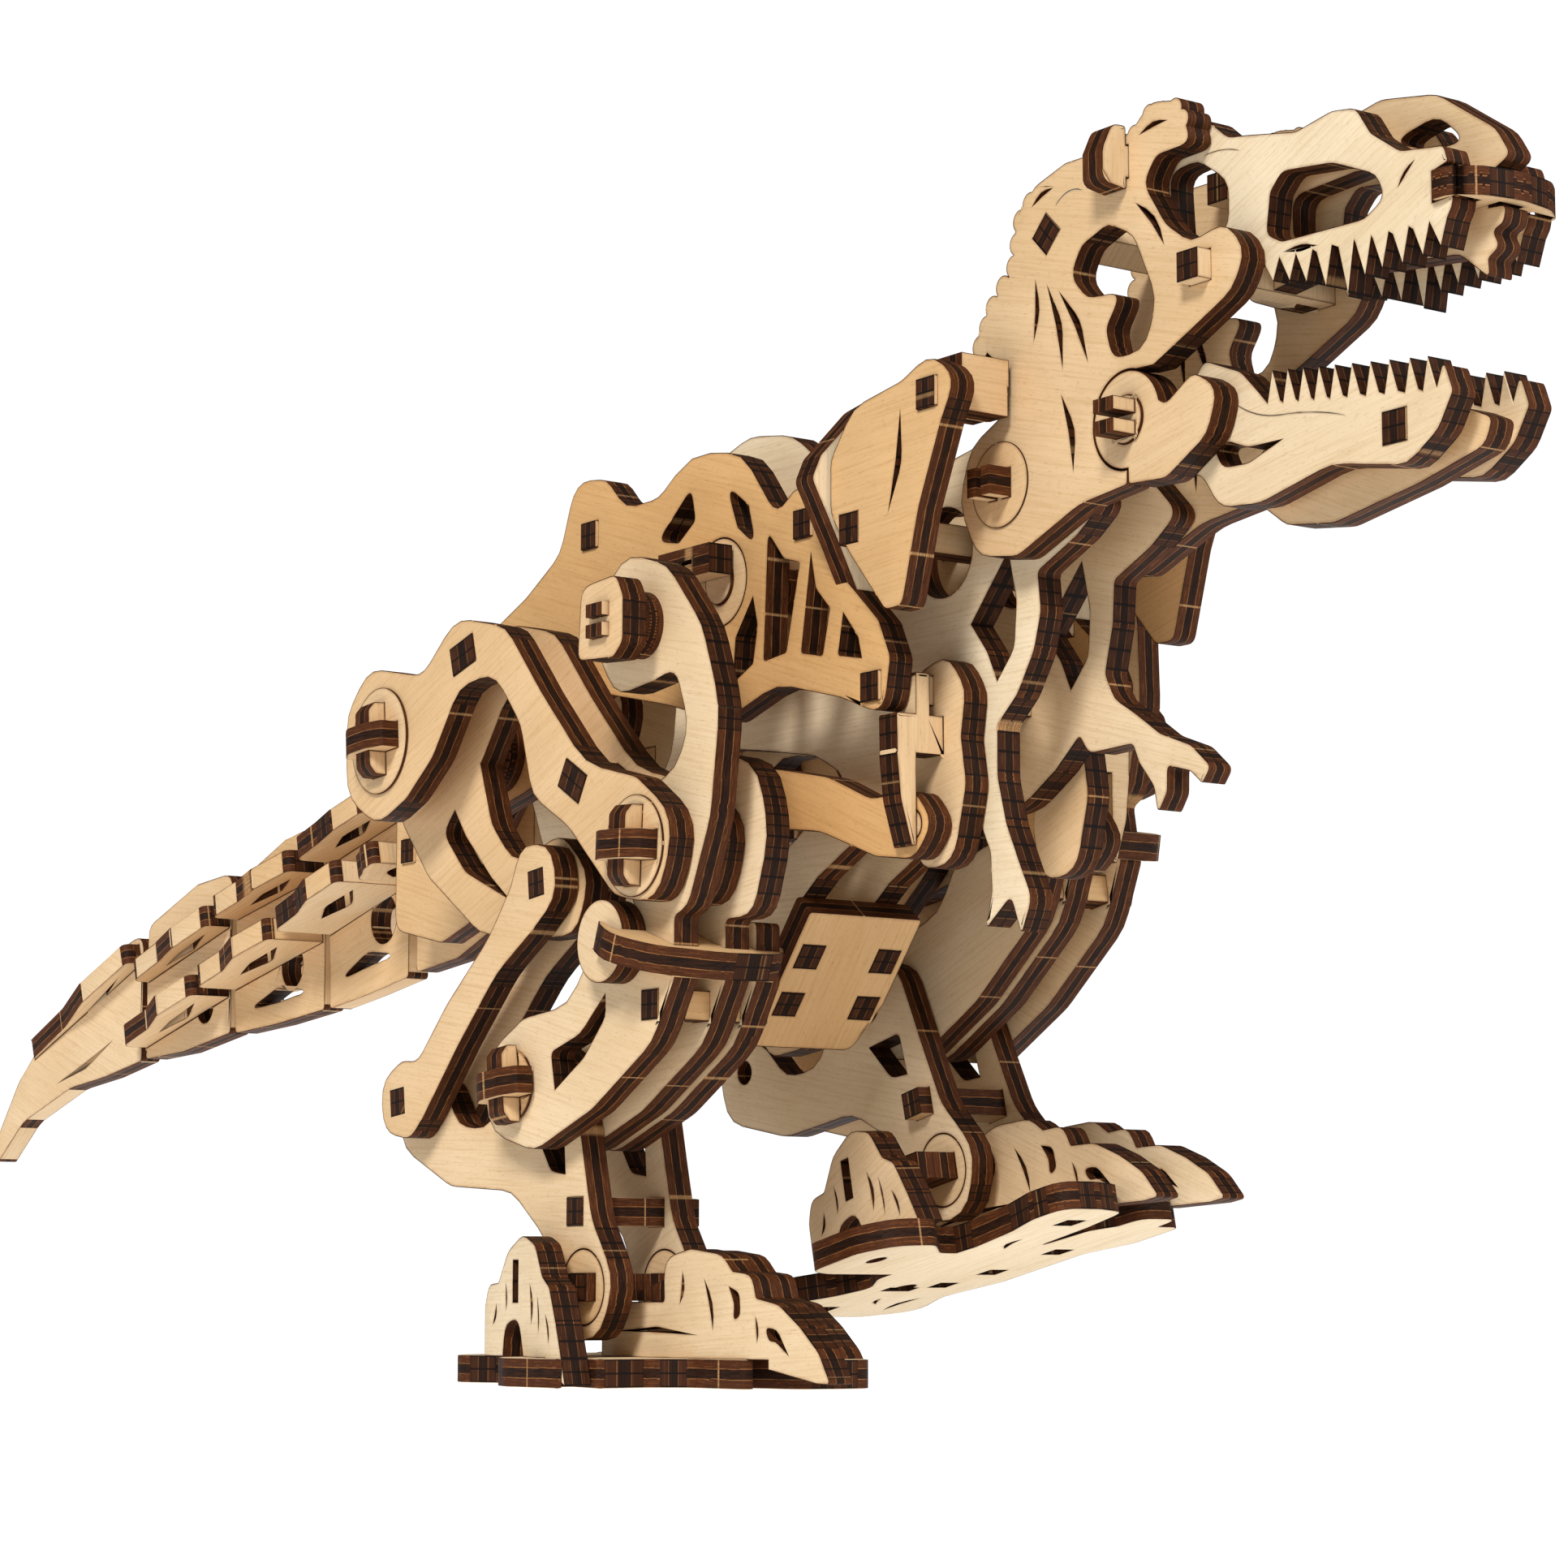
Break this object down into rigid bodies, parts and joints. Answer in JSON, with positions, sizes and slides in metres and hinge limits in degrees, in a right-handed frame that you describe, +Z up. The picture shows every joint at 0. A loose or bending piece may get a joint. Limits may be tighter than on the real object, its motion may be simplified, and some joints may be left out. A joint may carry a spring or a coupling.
{
  "type": "walking dinosaur skeleton model",
  "caption": "Laser-cut plywood walking dinosaur skeleton with a crank-driven linkage in each leg, a nodding head, an opening jaw and a wagging tail.",
  "frame": {"origin": "the middle of the bounding box at ground level, on the centre plane between the two side plates of the body", "axes": "+X forward to the snout, +Y to the animal's left, +Z up"},
  "size_m": [0.3952, 0.0904, 0.1552],
  "materials": {
    "plywood_face": "bare sanded birch plywood",
    "plywood_edge": "laser-scorched plywood edge"
  },
  "bodies": {
    "body": {"body_side_plates": "plywood_face", "chest_plate_right": "plywood_face", "chest_plate_left": "plywood_face", "body_spacers": "plywood_edge", "hip_pins": "plywood_edge", "rump_plates": "plywood_face", "belly_plate": "plywood_face", "shoulder_plates": "plywood_face", "shoulder_axle": "plywood_edge", "collar_plate": "plywood_face", "neck_beam": "plywood_edge", "tail_root": "plywood_face", "swing_link_right": "plywood_face", "swing_link_left": "plywood_face"},
    "crank": {"crankshaft": "plywood_edge", "crank_discs": "plywood_face", "winding_drum": "plywood_face", "crank_clips": "plywood_face"},
    "thigh_right": {"thigh_plates_right": "plywood_face", "knee_pin_right": "plywood_edge"},
    "shank_right": {"shank_plates_right": "plywood_face", "knee_plate_right": "plywood_edge", "knee_disc_right": "plywood_face", "crank_pin_right": "plywood_edge", "hock_pin_right": "plywood_edge"},
    "rods_right": {"push_rods_right": "plywood_face"},
    "tarsus_right": {"tarsus_plates_right": "plywood_face", "tarsus_bars_right": "plywood_edge"},
    "foot_right": {"sole_right": "plywood_face", "toe_brackets_right": "plywood_face", "ankle_pin_right": "plywood_edge"},
    "thigh_left": {"thigh_plates_left": "plywood_face", "knee_pin_left": "plywood_edge"},
    "shank_left": {"shank_plates_left": "plywood_face", "knee_plate_left": "plywood_edge", "knee_disc_left": "plywood_face", "crank_pin_left": "plywood_edge", "hock_pin_left": "plywood_edge"},
    "rods_left": {"push_rods_left": "plywood_face"},
    "tarsus_left": {"tarsus_plates_left": "plywood_face", "tarsus_bars_left": "plywood_edge"},
    "foot_left": {"sole_left": "plywood_face", "toe_brackets_left": "plywood_face", "ankle_pin_left": "plywood_edge"},
    "curved_rod_r": {"curved_rod_right": "plywood_face"},
    "curved_rod_l": {"curved_rod_left": "plywood_face"},
    "head": {"cheek_plates": "plywood_face", "snout_side_plates": "plywood_face", "snout_keel": "plywood_face", "nose_plate": "plywood_edge", "skull_bars": "plywood_edge"},
    "jaw": {"jaw_side_plates": "plywood_face", "jaw_keel": "plywood_face", "jaw_bars": "plywood_edge"},
    "tail_1": {"tail_near": "plywood_face"},
    "tail_2": {"tail_mid": "plywood_face"},
    "tail_3": {"tail_far": "plywood_face"},
    "tail_4": {"tail_tip": "plywood_face"}
  },
  "joints": [
    {"name": "crank_turn", "type": "hinge", "parent": "body", "child": "crank", "pos_m": [0.06982, 0, 0.107], "axis": [0, -1, 0], "range_deg": [0, 180]},
    {"name": "thigh_right", "type": "hinge", "parent": "body", "child": "thigh_right", "pos_m": [0.01532, 0, 0.09], "axis": [0, -1, 0], "range_deg": [-0.05, 15.65]},
    {"name": "shank_right", "type": "hinge", "parent": "thigh_right", "child": "shank_right", "pos_m": [0.08032, 0, 0.069], "axis": [0, -1, 0], "range_deg": [-5.65, 0.05]},
    {"name": "tarsus_right", "type": "hinge", "parent": "shank_right", "child": "tarsus_right", "pos_m": [0.04532, 0, 0.04], "axis": [0, -1, 0], "range_deg": [-0.05, 3.55]},
    {"name": "foot_right", "type": "hinge", "parent": "tarsus_right", "child": "foot_right", "pos_m": [0.05632, 0, 0.013], "axis": [0, -1, 0], "range_deg": [-1.55, 0.05]},
    {"name": "rods_right", "type": "hinge", "parent": "thigh_right", "child": "rods_right", "pos_m": [0.05032, 0, 0.067], "axis": [0, -1, 0], "range_deg": [-6.85, 0.05]},
    {"name": "thigh_left", "type": "hinge", "parent": "body", "child": "thigh_left", "pos_m": [0.01532, 0, 0.09], "axis": [0, -1, 0], "range_deg": [-15.65, 0.05]},
    {"name": "shank_left", "type": "hinge", "parent": "thigh_left", "child": "shank_left", "pos_m": [0.08357, 0, 0.08725], "axis": [0, -1, 0], "range_deg": [-0.05, 5.65]},
    {"name": "tarsus_left", "type": "hinge", "parent": "shank_left", "child": "tarsus_left", "pos_m": [0.05414, 0, 0.05262], "axis": [0, -1, 0], "range_deg": [-3.55, 0.05]},
    {"name": "foot_left", "type": "hinge", "parent": "tarsus_left", "child": "foot_left", "pos_m": [0.07114, 0, 0.02893], "axis": [0, -1, 0], "range_deg": [-0.05, 1.55]},
    {"name": "rods_left", "type": "hinge", "parent": "thigh_left", "child": "rods_left", "pos_m": [0.05522, 0, 0.07726], "axis": [0, -1, 0], "range_deg": [-0.05, 6.85]},
    {"name": "curved_rod_r", "type": "hinge", "parent": "body", "child": "curved_rod_r", "pos_m": [0.10592, 0, 0.071], "axis": [0, -1, 0], "range_deg": [-6.05, 0.05]},
    {"name": "curved_rod_l", "type": "hinge", "parent": "body", "child": "curved_rod_l", "pos_m": [0.10592, 0, 0.071], "axis": [0, -1, 0], "range_deg": [-0.05, 6.05]},
    {"name": "head_nod", "type": "hinge", "parent": "body", "child": "head", "pos_m": [0.11932, 0, 0.113], "axis": [0, -1, 0], "range_deg": [-6, 8]},
    {"name": "jaw_close", "type": "hinge", "parent": "head", "child": "jaw", "pos_m": [0.14332, 0, 0.117], "axis": [0, -1, 0], "range_deg": [-1, 7]},
    {"name": "tail_wag_1", "type": "hinge", "parent": "body", "child": "tail_1", "pos_m": [-0.04148, 0, 0.077], "axis": [0, 0, 1], "range_deg": [-9, 9]},
    {"name": "tail_wag_2", "type": "hinge", "parent": "tail_1", "child": "tail_2", "pos_m": [-0.06878, 0, 0.07], "axis": [0, 0, 1], "range_deg": [-9.02, 9.02]},
    {"name": "tail_wag_3", "type": "hinge", "parent": "tail_2", "child": "tail_3", "pos_m": [-0.10138, 0, 0.07], "axis": [0, 0, 1], "range_deg": [-9.02, 9.02]},
    {"name": "tail_wag_4", "type": "hinge", "parent": "tail_3", "child": "tail_4", "pos_m": [-0.13458, 0, 0.07], "axis": [0, 0, 1], "range_deg": [-9.02, 9.02]}
  ],
  "couplings": [
    {"joint": "thigh_right", "follows": "crank_turn", "ratio": 0.086667},
    {"joint": "shank_right", "follows": "crank_turn", "ratio": -0.031111},
    {"joint": "tarsus_right", "follows": "crank_turn", "ratio": 0.019444},
    {"joint": "foot_right", "follows": "crank_turn", "ratio": -0.008333},
    {"joint": "rods_right", "follows": "crank_turn", "ratio": -0.037777},
    {"joint": "thigh_left", "follows": "crank_turn", "ratio": -0.086667},
    {"joint": "shank_left", "follows": "crank_turn", "ratio": 0.031111},
    {"joint": "tarsus_left", "follows": "crank_turn", "ratio": -0.019444},
    {"joint": "foot_left", "follows": "crank_turn", "ratio": 0.008333},
    {"joint": "rods_left", "follows": "crank_turn", "ratio": 0.037777},
    {"joint": "curved_rod_r", "follows": "crank_turn", "ratio": -0.033333},
    {"joint": "curved_rod_l", "follows": "crank_turn", "ratio": 0.033333},
    {"joint": "tail_wag_2", "follows": "tail_wag_1", "ratio": 1},
    {"joint": "tail_wag_3", "follows": "tail_wag_1", "ratio": 1},
    {"joint": "tail_wag_4", "follows": "tail_wag_1", "ratio": 1}
  ]
}
